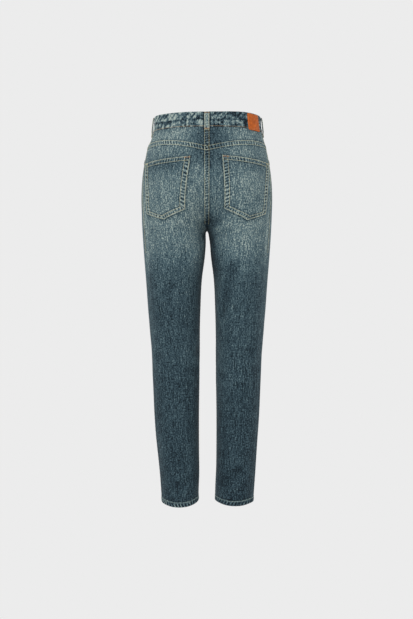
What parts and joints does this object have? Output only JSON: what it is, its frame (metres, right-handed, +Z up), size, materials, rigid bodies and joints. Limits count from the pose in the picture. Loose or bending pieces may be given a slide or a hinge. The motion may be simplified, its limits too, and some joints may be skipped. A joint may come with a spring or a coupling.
{
  "type": "mom jeans",
  "caption": "High-waisted tapered denim jeans, filled out as if worn, with back patch pockets, pointed yoke, belt loops, waistband patch, scooped front pockets and a buttoned fly.",
  "frame": {"origin": "centre of the waist opening, level with the waistband's top edge", "axes": "+Z up from the hems to the waist, -Y towards the garment's front, +X towards the wearer's left"},
  "size_m": [0.3322, 0.2427, 0.9753],
  "materials": {
    "denim": "worn blue-green twill, faded light over the seat",
    "denim_seat": "light washed twill with abraded seams",
    "denim_facing": "dark less faded twill",
    "leather": "smooth orange-brown leather, matt",
    "metal": "antique brass, brushed"
  },
  "bodies": {
    "root": {"front_left": "denim", "front_right": "denim", "back_left": "denim", "back_right": "denim", "yoke_left": "denim_seat", "yoke_right": "denim_seat", "waistband": "denim_seat", "back_pocket_left": "denim_seat", "back_pocket_right": "denim_seat", "pocket_facing_left": "denim_facing", "pocket_facing_right": "denim_facing", "fly": "denim", "hem_left": "denim", "hem_right": "denim", "belt_loop_back": "denim_seat", "belt_loop_side_left": "denim_seat", "belt_loop_side_right": "denim_seat", "belt_loop_front_left": "denim_seat", "belt_loop_front_right": "denim_seat", "leather_patch": "leather", "button": "metal"}
  },
  "joints": []
}
